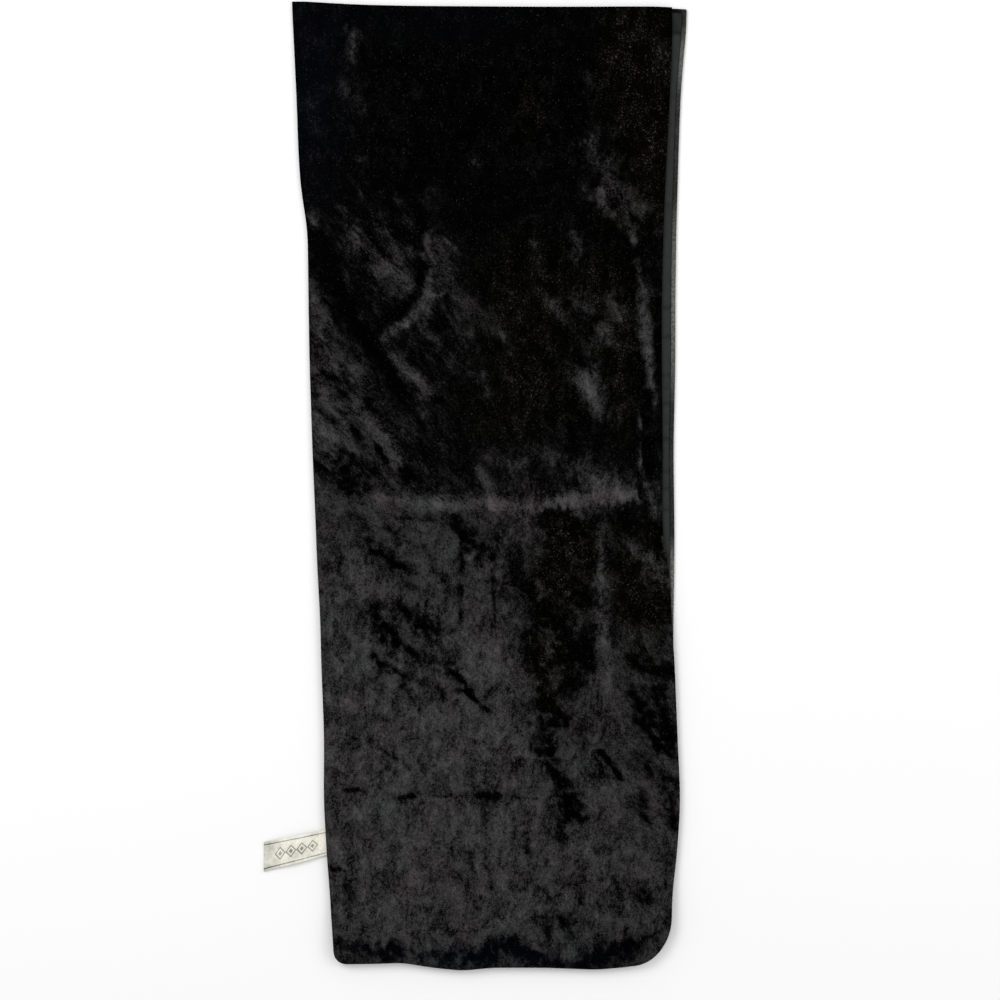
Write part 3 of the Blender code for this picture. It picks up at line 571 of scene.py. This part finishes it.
def make_lining(settings):
    columns = np.concatenate([
        LINING_FROM_EDGE + np.array((0.0, 0.0015, 0.0040, 0.0090)),
        np.linspace(0.022, USUAL_WIDTH - 0.036, 30),
        USUAL_WIDTH - LINING_FROM_EDGE - np.arange(STRIP_COLUMNS, -1, -1) * STRIP_STEP,
    ])
    length = FOLD_STARTS - LINING_FROM_EDGE
    rows = [LINING_FROM_EDGE + from_end(CLOSE_TO_LINING_END, length, apart) for apart in LINING_ROWS]
    grid = stole_grid(*rows, columns)
    below = grid["upper"] < 0.01
    photo_y = PHOTO_END_Y + grid["along"] / PIXEL
    ripple, shaded = np.zeros_like(photo_y), np.zeros_like(photo_y)
    for place, half_width, height in PUCKERS:
        ridge = np.exp(-((photo_y - place) / (half_width * PUCKERS_WIDER)) ** 2)
        ripple = ripple + height * MM * ridge
        shaded = shaded + ridge * max(0.0, -height) * PUCKER_SHADE
    inward = np.clip((grid["from_right"] - LINING_FROM_EDGE) / PUCKERS_REACH_IN, 0, 1)
    ripple = ripple * (1 - inward) * below
    rim = eased(np.minimum(grid["from_edge"] - LINING_FROM_EDGE, LINING_RIM) / LINING_RIM)
    middle = (LINING_OUTER_DEPTH + LINING_INNER_DEPTH) / 2
    outer = corners_at(grid, middle + (LINING_OUTER_DEPTH - middle) * rim)
    inner = corners_at(grid, middle + (LINING_INNER_DEPTH + ripple - middle) * rim)
    faces = closed_faces(*grid["across"].shape)
    darker = eased((DARKER_TO_Y - photo_y) / DARKER_OVER) * eased((photo_y - DARKER_FROM_Y) / DARKER_OVER)
    shaded = (np.minimum(shaded, 1.3) * (1 - inward) + darker) * below
    return new_object("lining_cloth", (outer, inner), faces, lining_material(settings), shaded=shaded)


# label and sewing

LABEL_SEAM_END = (-0.1632, 0.8520)
LABEL_FREE_END = (-0.2292, 0.8674)
LABEL_WIDE_AT_SEAM = 0.0255
LABEL_WIDE_AT_FREE_END = 0.0300
LABEL_SEAM_HEIGHT = 0.0014
LABEL_ARCH = 0.0024
LABEL_LIES_FLAT_FOR = 0.09
LABEL_THICK = 0.00055
LABEL_EDGE_ROUND = 0.0003
LABEL_OFF_CLOTH = 0.00022
LABEL_LONG, LABEL_WIDE = 0.067, 0.028
LABEL_ROWS, LABEL_COLUMNS = 58, 24
CLOSE_TO_LABEL_EDGE = np.array((0.0, 0.004, 0.010, 0.020))
STITCH_STEP, STITCH_LONG, STITCH_THICK = 0.0042, 0.0021, 0.00034
STITCHES_START, STITCHES_RUN, STITCHES_OFF_SEAM, STITCHES_HEIGHT = 0.014, 0.93, 0.0016, 0.00282
TACKS, TACKS_AT, TACK_LONG, TACK_THICK, TACK_OFF_LABEL = 9, 0.125, 0.0022, 0.0004, 0.0001


def label_place(share, side):
    """Across, along and height on the label: share runs from its seam to its free end, and side across it."""
    across = LABEL_SEAM_END[0] + share * (LABEL_FREE_END[0] - LABEL_SEAM_END[0])
    wide = LABEL_WIDE_AT_SEAM + share * (LABEL_WIDE_AT_FREE_END - LABEL_WIDE_AT_SEAM)
    along = LABEL_SEAM_END[1] + share * (LABEL_FREE_END[1] - LABEL_SEAM_END[1]) + wide * (side - 0.5)
    past = np.maximum(share - LABEL_LIES_FLAT_FOR, 0) / (1 - LABEL_LIES_FLAT_FOR)
    height = LABEL_SEAM_HEIGHT * (1 - past) + LABEL_ARCH * np.sin(math.pi * past) * np.sqrt(1 - past)
    return across, along, height + rumple(share, side) + LABEL_OFF_CLOTH + LABEL_THICK / 2


def rumple(share, side):
    """Soft waves in the label, and its free corners a little turned up."""
    wave = 0.00052 + 0.00022 * np.sin(9 * share + 2.5 * side + 0.6) + 0.00012 * np.sin(19 * share - 4 * side)
    outer_part = np.maximum(0, np.abs(side - 0.45) * 2 - 0.35)
    corner = 0.0011 * np.clip((share - 0.80) / 0.20, 0, 1) ** 2 * outer_part
    return wave * np.sqrt(np.abs(np.sin(math.pi * share))) * eased((share - 0.10) / 0.15) * 0.6 + corner


def in_frame(place):
    return (place[0] + CENTRE_X, SHELL_HIGH.y - place[1], place[2])


def make_label(settings):
    share = spread(CLOSE_TO_LABEL_EDGE, 1, 1 / LABEL_ROWS)[:, None]
    side = spread(CLOSE_TO_LABEL_EDGE * 2, 1, 1 / LABEL_COLUMNS)[None, :]
    share, side = share + 0 * side, side + 0 * share
    off_rim = np.minimum(np.minimum(share, 1 - share) * LABEL_LONG, np.minimum(side, 1 - side) * LABEL_WIDE)
    half_thick = LABEL_THICK / 2 * np.sqrt(np.minimum(off_rim / LABEL_EDGE_ROUND, 1))
    x, y, z = in_frame(label_place(share, side))
    sides = [np.stack([x, y, z + way * half_thick], axis=-1) for way in (1, -1)]
    material = label_material(settings)
    return new_object("label_ribbon", sides, closed_faces(*share.shape), material, long=share, wide=side)


def choose_only(thing):
    bpy.ops.object.select_all(action="DESELECT")
    thing.select_set(True)
    bpy.context.view_layer.objects.active = thing


def outward(thing):
    """Turns every face of a closed piece outward."""
    choose_only(thing)
    bpy.ops.object.mode_set(mode="EDIT")
    bpy.ops.mesh.select_all(action="SELECT")
    bpy.ops.mesh.normals_make_consistent(inside=False)
    bpy.ops.object.mode_set(mode="OBJECT")


def stitch_row(name, places, length, thick, material):
    """A row of short thread stitches, each a small ellipsoid laid along the way to the next place."""
    corners, faces = [], []
    rings, sides = 5, 6
    for place, way in places:
        forward = Vector(way).normalized()
        up = Vector((0, 0, 1))
        side = forward.cross(up).normalized()
        first = len(corners)
        corners.append(tuple(place - forward * length / 2))
        for ring in range(1, rings):
            angle = math.pi * ring / rings
            for k in range(sides):
                turn = 2 * math.pi * k / sides
                out = side * math.cos(turn) + up * math.sin(turn)
                spot = place - forward * math.cos(angle) * length / 2 + out * math.sin(angle) * thick / 2
                corners.append(tuple(spot))
        corners.append(tuple(place + forward * length / 2))
        last = len(corners) - 1
        for k in range(sides):
            after = (k + 1) % sides
            faces.append((first, first + 1 + after, first + 1 + k))
            faces.append((last, last - sides + k, last - sides + after))
            for ring in range(rings - 2):
                a = first + 1 + ring * sides
                faces.append((a + k, a + after, a + sides + after, a + sides + k))
    thing = new_object(name, [np.array(corners)], faces, material)
    outward(thing)
    return thing


def make_sewing(settings):
    """The understitching by the lining's edge, and the tacking that holds the label."""
    places, tacks = [], []
    for i in range(int(STITCHES_RUN / STITCH_STEP)):
        along = STITCHES_START + np.array([i, i + 1]) * STITCH_STEP
        across = edge(along, UNDER_RIGHT) - LINING_FROM_EDGE - STITCHES_OFF_SEAM
        here, there = (Vector(in_frame((across[k], along[k], STITCHES_HEIGHT))) for k in (0, 1))
        places.append((here, there - here))
    thread = thread_material("seam_thread", settings.lining_colour)
    understitching = stitch_row("understitching", places, STITCH_LONG, STITCH_THICK, thread)
    for i in range(TACKS):
        here, there = (Vector(in_frame(label_place(TACKS_AT, (i + step) / TACKS))) for step in (0.5, 1.5))
        here.z += LABEL_THICK / 2 + TACK_OFF_LABEL
        tacks.append((here, Vector((there.x, there.y, here.z)) - here))
    pale = thread_material("label_thread", settings.label_colour)
    return understitching, stitch_row("label_tacking", tacks, TACK_LONG, TACK_THICK, pale)


# materials

def new_material(name):
    made = bpy.data.materials.new(name)
    made.use_nodes = True
    return made, made.node_tree, made.node_tree.nodes["Principled BSDF"]


def put_in(node, inputs):
    """Gives a node's inputs, by their names or places, another node's output or a value of their own."""
    for key, value in inputs.items():
        if isinstance(value, bpy.types.NodeSocket):
            node.id_data.links.new(value, node.inputs[key])
        else:
            node.inputs[key].default_value = value


def add(kind, inputs, **settings):
    """A node beside those that go into its inputs, with its named settings."""
    tree = next(value.id_data for value in inputs.values() if isinstance(value, bpy.types.NodeSocket))
    node = tree.nodes.new(kind)
    for key, value in settings.items():
        setattr(node, key, value)
    put_in(node, inputs)
    return node


def maths(operation, *values, clamp=False):
    """A math node on values of which at least one comes from another node."""
    return add("ShaderNodeMath", dict(enumerate(values)), operation=operation, use_clamp=clamp).outputs[0]


def plus(first, second, clamp=False):
    return maths("ADD", first, second, clamp=clamp)


def minus(first, second):
    return maths("SUBTRACT", first, second)


def times(first, second, clamp=False):
    return maths("MULTIPLY", first, second, clamp=clamp)


def mixed(share, first, second, blend="MIX"):
    """Two colours mixed by a share; in a colour mix node they are inputs 6 and 7, and its output is 2."""
    inputs = {0: share, 6: first, 7: second}
    return add("ShaderNodeMix", inputs, data_type="RGBA", blend_type=blend).outputs[2]


def finish(surface, colour, roughness, specular, bump=None):
    """Joins a colour and, where given, a bump of a strength, a distance and a height."""
    put_in(surface, {"Base Color": colour, "Roughness": roughness, "Specular IOR Level": specular})
    if bump:
        bumped = add("ShaderNodeBump", dict(zip(("Strength", "Distance", "Height"), bump)))
        put_in(surface, {"Normal": bumped.outputs["Normal"]})


def lit(colour, light, most):
    """A colour made lighter and darker, up to so many times itself."""
    share = times(light, 1 / most, clamp=True)
    return mixed(share, (0.0, 0.0, 0.0, 1.0), (*(part * most for part in colour), 1.0))


def object_place(tree):
    return tree.nodes.new("ShaderNodeTexCoord").outputs["Object"]


def noise_at(place, scale, detail=3.0, rough=0.55, twist=0.0):
    inputs = {"Vector": place, "Scale": scale, "Detail": detail, "Roughness": rough, "Distortion": twist}
    return add("ShaderNodeTexNoise", inputs).outputs["Fac"]


def ramp(value, stops):
    node = add("ShaderNodeValToRGB", {"Fac": value})
    elements = node.color_ramp.elements
    while len(elements) < len(stops):
        elements.new(1.0)
    for element, (place, colour) in zip(elements, stops):
        element.position = place
        element.color = (*colour, 1.0)
    return node.outputs["Color"]


def attribute(tree, name):
    node = tree.nodes.new("ShaderNodeAttribute")
    node.attribute_name = name
    return node.outputs["Fac"]


def swing(noise_value, amount):
    """Noise turned about zero and made stronger."""
    return times(minus(noise_value, 0.5), amount)


# How much of the nap's colour shows as the pile turns.
NAP_TONES = (
    (0.0, 0.0), (0.1, 0.03), (0.2, 0.1), (0.31, 0.28), (0.42, 0.53), (0.56, 0.82), (0.75, 1.2), (1.0, 1.9),
)


def streaked(place, turn, longer):
    """Places drawn out along a direction, so that noise there runs in streaks."""
    inputs = {"Vector": place, "Rotation": (0.0, 0.0, turn), "Scale": (longer, 1.0 / longer**0.5, 1.0)}
    return add("ShaderNodeMapping", inputs, vector_type="TEXTURE").outputs["Vector"]


def blended(share, first, second):
    """One number going over into another."""
    return maths("MULTIPLY_ADD", minus(second, first), share, first)


def velvet_material(settings):
    made, tree, surface = new_material("crushed_velvet")
    place = object_place(tree)
    nap = attribute(tree, "nap")
    slant = attribute(tree, "slant")
    upright = streaked(place, math.radians(88), 1.25)
    leaning = streaked(place, math.radians(-50), 1.55)
    blobs = noise_at(upright, 66, 6.0, 0.68, 0.5), noise_at(leaning, 80, 6.0, 0.68, 0.3)
    mottles = noise_at(upright, 340, 3.0, 0.60, 0.3), noise_at(leaning, 360, 3.0, 0.60, 0.2)
    blobs, mottles = swing(blended(slant, *blobs), 3.0), swing(blended(slant, *mottles), 1.6)
    grain = swing(noise_at(place, 820, 1.0, 0.50), 1.7)
    lively = plus(times(nap, 0.70), 0.41, clamp=True)
    patch = times(plus(plus(blobs, mottles), grain), lively)
    turned = times(plus(nap, patch), 0.62, clamp=True)
    stops = []
    for position, share in NAP_TONES:
        both = zip(settings.pile_colour, settings.nap_colour)
        stops.append((position, tuple(dark + (bright - dark) * share for dark, bright in both)))
    colour = ramp(turned, stops)

    greenish, reddish = (0.95, 1.022, 0.99), (1.06, 0.972, 1.0)
    hue = ramp(noise_at(place, 26, 3.0, 0.6), ((0.36, greenish), (0.64, reddish)))
    colour = mixed(1.0, colour, hue, "MULTIPLY")

    clusters = times(plus(blobs, 0.20), 2.0, clamp=True)
    specks = times(minus(noise_at(place, 560, 2.0, 0.6), 0.590), 10.0, clamp=True)
    # painted glints: small light flecks on the pile, added all over
    painted_glints = times(minus(noise_at(upright, 700, 1.0, 0.5), 0.685), 9.0, clamp=True)
    warm, cool = attribute(tree, "warm"), attribute(tree, "cool")
    added = (
        (times(times(specks, clusters), warm), (0.064, 0.055, 0.0385)),
        (painted_glints, (0.022, 0.022, 0.021)),
        (warm, (0.0006, 0.0004, 0.0001)),
        (cool, (0.0006, 0.0008, 0.0016)),
    )
    for share, tone in added:
        colour = mixed(share, colour, (*tone, 1.0), "ADD")
    # painted sheen on the seam roll, mixed in where the roll attribute is set
    painted_sheen_noise = noise_at(place, 420, 3.0, 0.6)
    painted_sheen_colour = ramp(painted_sheen_noise, ((0.36, (0.07, 0.07, 0.068)), (0.62, (0.17, 0.168, 0.16))))
    colour = mixed(attribute(tree, "roll"), colour, painted_sheen_colour)
    finish(surface, colour, 1.0, 0.0, (0.5, 0.0005, plus(times(mottles, 0.6), grain)))
    put_in(surface, {"Sheen Weight": 0.02, "Sheen Roughness": 0.35, "Sheen Tint": (0.55, 0.55, 0.56, 1.0)})
    return made


def lining_material(settings):
    made, tree, surface = new_material("lining_satin")
    place = object_place(tree)
    drawn_out = add("ShaderNodeMapping", {"Vector": place, "Scale": (1.0, 0.35, 1.0)}).outputs["Vector"]
    cloudy = swing(noise_at(drawn_out, 260, 3.0), 0.55)
    weave = swing(noise_at(place, 1500, 1.0), 0.35)
    shaded = times(attribute(tree, "shaded"), -0.35)
    light = plus(plus(cloudy, weave), plus(shaded, 1.0))
    finish(surface, lit(settings.lining_colour, light, 2.0), 0.62, 0.05, (0.25, 0.0002, weave))
    return made


def label_material(settings):
    made, tree, surface = new_material("woven_ribbon")
    long, wide = attribute(tree, "long"), attribute(tree, "wide")
    off_side = maths("ABSOLUTE", minus(wide, 0.5))
    border = maths("COMPARE", off_side, 0.400, 0.020)
    steps = maths("FRACT", times(long, 6.0))
    lozenge = plus(times(maths("ABSOLUTE", minus(steps, 0.5)), 0.46), off_side)
    outline = maths("COMPARE", lozenge, 0.205, 0.030)
    heart = maths("LESS_THAN", lozenge, 0.085)
    inside = times(maths("GREATER_THAN", long, 0.167), maths("LESS_THAN", long, 0.833))
    pattern = maths("MAXIMUM", times(maths("MAXIMUM", outline, heart), inside), border)
    place = object_place(tree)
    ribs = maths("SINE", times(long, 620.0))
    picks = maths("SINE", times(wide, 300.0))
    weave = times(times(ribs, picks), 0.10)
    worn = swing(noise_at(place, 60, 2.0), 0.9)
    uneven = plus(swing(noise_at(place, 300, 3.0), 0.55), worn)
    light = minus(plus(plus(weave, uneven), 1.0), times(pattern, 0.58))
    # the label is made darker towards its free end
    darker_to_free_end = times(minus(long, 0.62), 0.7, clamp=True)
    seam_side = times(maths("LESS_THAN", long, 0.155), 0.12)
    light = plus(minus(light, darker_to_free_end), seam_side)
    height = plus(weave, times(pattern, 0.25))
    finish(surface, lit(settings.label_colour, light, 1.4), 0.45, 0.3, (0.5, 0.0003, height))
    return made


def thread_material(name, colour):
    made, tree, surface = new_material(name)
    twist = noise_at(object_place(tree), 1800, 2.0)
    stops = ((0.3, tuple(part * 0.8 for part in colour)), (0.7, tuple(part * 1.25 for part in colour)))
    finish(surface, ramp(twist, stops), 0.6, 0.2)
    return made


# studio

FLOOR_SIZE, FLOOR_BELOW = 12.0, 0.0004
KEY_PLACE, KEY_SIZE = (-1.3, 1.1, 1.9), 1.4
SIDE_PLACE, SIDE_SIZE, SIDE_SHARE = (1.6, 0.3, 1.5), 1.2, 0.35
CAMERA_LENS, CAMERA_SENSOR, CAMERA_CLOSER = 100.0, 36.0, 0.9995


def soft_light(name, place, size, watts):
    light = bpy.data.lights.new(name, "AREA")
    light.shape = "DISK"
    light.size = size
    light.energy = watts
    thing = placed(name, light)
    thing.location = place
    thing.rotation_euler = (-Vector(place)).to_track_quat("-Z", "Y").to_euler()


def make_stage(settings):
    bpy.ops.object.select_all(action="DESELECT")
    bpy.ops.mesh.primitive_plane_add(size=FLOOR_SIZE, location=(0, 0, -FLOOR_BELOW))
    floor = bpy.context.object
    floor.name = "floor"
    made, _, surface = new_material("pale_floor")
    finish(surface, (0.86, 0.86, 0.86, 1.0), 0.9, 0.0)
    floor.data.materials.append(made)
    world = bpy.data.worlds.new("studio")
    world.use_nodes = True
    background = world.node_tree.nodes["Background"]
    put_in(background, {"Color": (1.0, 1.0, 1.0, 1.0), "Strength": settings.fill_light})
    bpy.context.scene.world = world
    soft_light("key_light", KEY_PLACE, KEY_SIZE, settings.key_watts)
    soft_light("side_light", SIDE_PLACE, SIDE_SIZE, settings.key_watts * SIDE_SHARE)

    camera = bpy.data.cameras.new("view_from_above")
    camera.lens, camera.sensor_width = CAMERA_LENS, CAMERA_SENSOR
    eye = placed("view_from_above", camera)
    across, along = (PHOTO_MIDDLE - PHOTO_CENTRE_X) * PIXEL, (PHOTO_MIDDLE - PHOTO_END_Y) * PIXEL
    distance = PHOTO_WIDTH * PIXEL * camera.lens / camera.sensor_width
    eye.location = (*in_frame((across, along, 0))[:2], distance * CAMERA_CLOSER)
    bpy.context.scene.camera = eye
    bpy.context.scene.view_settings.view_transform = "Standard"


# add-on

def colour_setting(name, description, default):
    return bpy.props.FloatVectorProperty(
        name=name, description=description, subtype="COLOR", size=3, default=default, min=0.0, max=1.0)


class StoleSettings(bpy.types.PropertyGroup):
    """Sizes and colours that a user would change."""

    velvet_thickness: bpy.props.FloatProperty(
        name="Velvet thickness", description="How thick the velvet is, with its pile",
        default=VELVET_THICK, min=0.001, max=0.0018, unit="LENGTH", precision=4)
    crush_height: bpy.props.FloatProperty(
        name="Crush height", description="How far the crushed pile rises and sinks",
        default=0.00034, min=0.0, max=0.0008, unit="LENGTH", precision=5)
    mesh_step: bpy.props.FloatProperty(
        name="Mesh step", description="How far apart the rows of the velvet's mesh are",
        default=0.0023, min=0.0022, max=0.02, unit="LENGTH", precision=4)
    seed: bpy.props.IntProperty(
        name="Pattern seed", description="Chance pattern of the nap on the layer below", default=11, min=0)
    pile_colour: colour_setting(
        "Pile colour", "Colour of the velvet's pile seen end on", (0.0004, 0.0004, 0.0004))
    nap_colour: colour_setting(
        "Nap colour", "Colour of the velvet where its nap lies turned", (0.0322, 0.0312, 0.0316))
    lining_colour: colour_setting(
        "Lining colour", "Colour of the satin lining", (0.0235, 0.0256, 0.0248))
    label_colour: colour_setting(
        "Label colour", "Colour of the woven label", (0.71, 0.70, 0.61))
    fill_light: bpy.props.FloatProperty(
        name="Fill light", description="Strength of the even light from all around",
        default=0.80, min=0.0, max=3.0)
    key_watts: bpy.props.FloatProperty(
        name="Key light", description="Power of the soft light from the upper left",
        default=26.0, min=0.0, max=500.0, unit="POWER")


def given_to(piece, slot, replaced, **cloth):
    """Puts a finished piece in the part's frame and hides the part it replaces."""
    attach(piece, "root")
    if replaced:
        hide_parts(replaced)


class STOLE_OT_velvet(bpy.types.Operator):
    """Makes the crushed velvet, folded once over the fold"""

    bl_idname = "stole.velvet"
    bl_label = "Velvet"

    def execute(self, context):
        velvet = make_velvet(context.scene.stole)
        given_to(velvet, "velvet", "velvet_shell", flat=(0.356, 1.96), held="folded")
        return {"FINISHED"}


class STOLE_OT_lining(bpy.types.Operator):
    """Makes the satin lining inside the velvet"""

    bl_idname = "stole.lining"
    bl_label = "Lining"

    def execute(self, context):
        lining = make_lining(context.scene.stole)
        given_to(lining, "lining", "lining", flat=(0.348, 1.94), held="folded")
        return {"FINISHED"}


class STOLE_OT_label(bpy.types.Operator):
    """Makes the woven label"""

    bl_idname = "stole.label"
    bl_label = "Label"

    def execute(self, context):
        label = make_label(context.scene.stole)
        given_to(label, "label", "label", flat=(0.028, 0.068), held="laid")
        return {"FINISHED"}


class STOLE_OT_sewing(bpy.types.Operator):
    """Makes the stitches by the lining's edge and across the label"""

    bl_idname = "stole.sewing"
    bl_label = "Sewing"

    def execute(self, context):
        understitching, tacking = make_sewing(context.scene.stole)
        given_to(understitching, "lining", None)
        given_to(tacking, "label", None)
        return {"FINISHED"}


class STOLE_OT_stage(bpy.types.Operator):
    """Makes the floor, the soft lights and the camera"""

    bl_idname = "stole.stage"
    bl_label = "Stage"

    def execute(self, context):
        make_stage(context.scene.stole)
        return {"FINISHED"}


class STOLE_PT_pieces(bpy.types.Panel):
    bl_label = "Folded stole"
    bl_space_type = "VIEW_3D"
    bl_region_type = "UI"
    bl_category = "Stole"

    def draw(self, context):
        for maker in MAKERS:
            self.layout.operator(maker.bl_idname)
        for name in StoleSettings.__annotations__:
            self.layout.prop(context.scene.stole, name)


MAKERS = (STOLE_OT_velvet, STOLE_OT_lining, STOLE_OT_label, STOLE_OT_sewing, STOLE_OT_stage)
CLASSES = (StoleSettings, *MAKERS, STOLE_PT_pieces)


def register():
    for one in CLASSES:
        bpy.utils.register_class(one)
    bpy.types.Scene.stole = bpy.props.PointerProperty(type=StoleSettings)


def unregister():
    del bpy.types.Scene.stole
    for one in reversed(CLASSES):
        bpy.utils.unregister_class(one)


def main():
    register()
    bpy.ops.stole.velvet()
    bpy.ops.stole.lining()
    bpy.ops.stole.label()
    bpy.ops.stole.sewing()
    bpy.ops.stole.stage()


if __name__ == "__main__":
    main()
